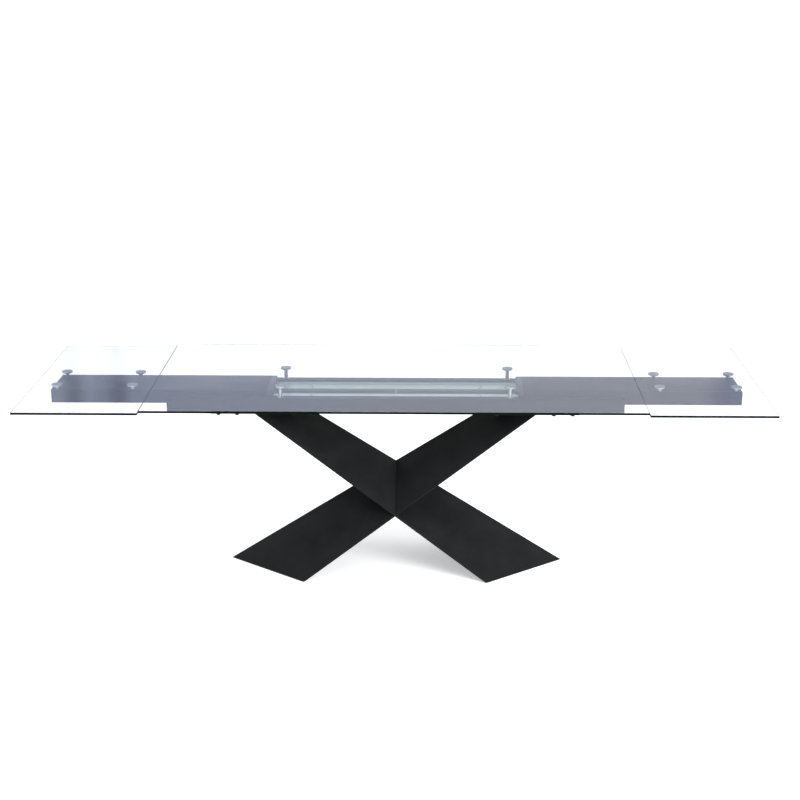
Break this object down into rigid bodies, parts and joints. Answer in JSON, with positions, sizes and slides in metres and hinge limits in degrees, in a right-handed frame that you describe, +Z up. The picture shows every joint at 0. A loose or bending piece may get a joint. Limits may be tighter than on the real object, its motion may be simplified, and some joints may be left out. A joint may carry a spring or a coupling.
{
  "type": "extending glass dining table",
  "caption": "Dining table with a glass top on a crossed black steel base; a glass leaf slides out of each end on a roller carriage.",
  "frame": {"origin": "on the floor, under the middle of the table, with both leaves pulled out", "axes": "+Z up, +X along the table to the right, -Y the front"},
  "size_m": [2.704, 0.9, 0.75],
  "materials": {
    "clear_glass": "clear toughened float glass with polished edges",
    "satin_steel": "satin turned stainless steel",
    "black_coated_steel": "fine-textured black powder coat, satin",
    "aluminium_rail": "mill-finish extruded aluminium",
    "galvanised_sheet": "galvanised steel sheet",
    "black_oxide_steel": "black oxide fasteners",
    "zinc_steel": "bright zinc-plated steel",
    "grey_nylon": "moulded grey nylon",
    "natural_nylon": "moulded natural nylon",
    "black_plastic": "moulded black polyethylene",
    "black_rubber": "moulded rubber"
  },
  "bodies": {
    "table": {"main_glass": "clear_glass", "main_pad_discs": "satin_steel", "main_posts": "satin_steel", "main_post_nuts": "satin_steel", "frame_beam_front": "black_coated_steel", "frame_beam_rear": "black_coated_steel", "beam_end_caps": "black_plastic", "frame_crossbars": "black_coated_steel", "frame_pan": "galvanised_sheet", "guide_rail_front": "aluminium_rail", "guide_rail_rear": "aluminium_rail", "rail_screws": "zinc_steel", "rail_end_stops": "natural_nylon", "centre_stop": "natural_nylon", "mount_plate_left": "black_coated_steel", "mount_plate_right": "black_coated_steel", "mount_bolts": "black_oxide_steel", "mount_washers": "black_oxide_steel", "mount_nuts": "zinc_steel", "base_arm_left_front": "black_coated_steel", "base_arm_left_rear": "black_coated_steel", "base_arm_right_front": "black_coated_steel", "base_arm_right_rear": "black_coated_steel", "base_leg_left_front": "black_coated_steel", "base_leg_left_rear": "black_coated_steel", "base_leg_right_front": "black_coated_steel", "base_leg_right_rear": "black_coated_steel", "foot_plate_left": "black_coated_steel", "foot_plate_right": "black_coated_steel", "floor_glides": "black_plastic"},
    "leaf_unit_left": {"leaf_glass_left": "clear_glass", "leaf_pad_discs_left": "satin_steel", "leaf_posts_left": "satin_steel", "leaf_post_nuts_left": "satin_steel", "carriage_cover_left": "black_coated_steel", "carriage_cap_left": "grey_nylon", "carriage_buffer_left": "black_rubber", "carriage_spine_left": "black_coated_steel", "axle_bushes_left": "natural_nylon"},
    "wheels_inner_left": {"axle_inner_left": "zinc_steel", "rollers_inner_left": "natural_nylon"},
    "wheels_outer_left": {"axle_outer_left": "zinc_steel", "rollers_outer_left": "natural_nylon"},
    "leaf_unit_right": {"leaf_glass_right": "clear_glass", "leaf_pad_discs_right": "satin_steel", "leaf_posts_right": "satin_steel", "leaf_post_nuts_right": "satin_steel", "carriage_cover_right": "black_coated_steel", "carriage_cap_right": "grey_nylon", "carriage_buffer_right": "black_rubber", "carriage_spine_right": "black_coated_steel", "axle_bushes_right": "natural_nylon"},
    "wheels_inner_right": {"axle_inner_right": "zinc_steel", "rollers_inner_right": "natural_nylon"},
    "wheels_outer_right": {"axle_outer_right": "zinc_steel", "rollers_outer_right": "natural_nylon"}
  },
  "joints": [
    {"name": "leaf_slide_left", "type": "slide", "parent": "table", "child": "leaf_unit_left", "axis": [1, 0, 0], "range_m": [0, 0.45]},
    {"name": "wheel_spin_inner_left", "type": "hinge", "parent": "leaf_unit_left", "child": "wheels_inner_left", "pos_m": [-0.502, 0, 0.6688], "axis": [0, 1, 0], "range_deg": [0, 2344.4]},
    {"name": "wheel_spin_outer_left", "type": "hinge", "parent": "leaf_unit_left", "child": "wheels_outer_left", "pos_m": [-0.81, 0, 0.6688], "axis": [0, 1, 0], "range_deg": [0, 2344.4]},
    {"name": "leaf_slide_right", "type": "slide", "parent": "table", "child": "leaf_unit_right", "axis": [-1, 0, 0], "range_m": [0, 0.45]},
    {"name": "wheel_spin_inner_right", "type": "hinge", "parent": "leaf_unit_right", "child": "wheels_inner_right", "pos_m": [0.502, 0, 0.6688], "axis": [0, 1, 0], "range_deg": [-2344.4, 0]},
    {"name": "wheel_spin_outer_right", "type": "hinge", "parent": "leaf_unit_right", "child": "wheels_outer_right", "pos_m": [0.81, 0, 0.6688], "axis": [0, 1, 0], "range_deg": [-2344.4, 0]}
  ],
  "couplings": [
    {"joint": "wheel_spin_inner_left", "follows": "leaf_slide_left", "rad_per_m": 90.909},
    {"joint": "wheel_spin_outer_left", "follows": "leaf_slide_left", "rad_per_m": 90.909},
    {"joint": "wheel_spin_inner_right", "follows": "leaf_slide_right", "rad_per_m": -90.909},
    {"joint": "wheel_spin_outer_right", "follows": "leaf_slide_right", "rad_per_m": -90.909}
  ]
}
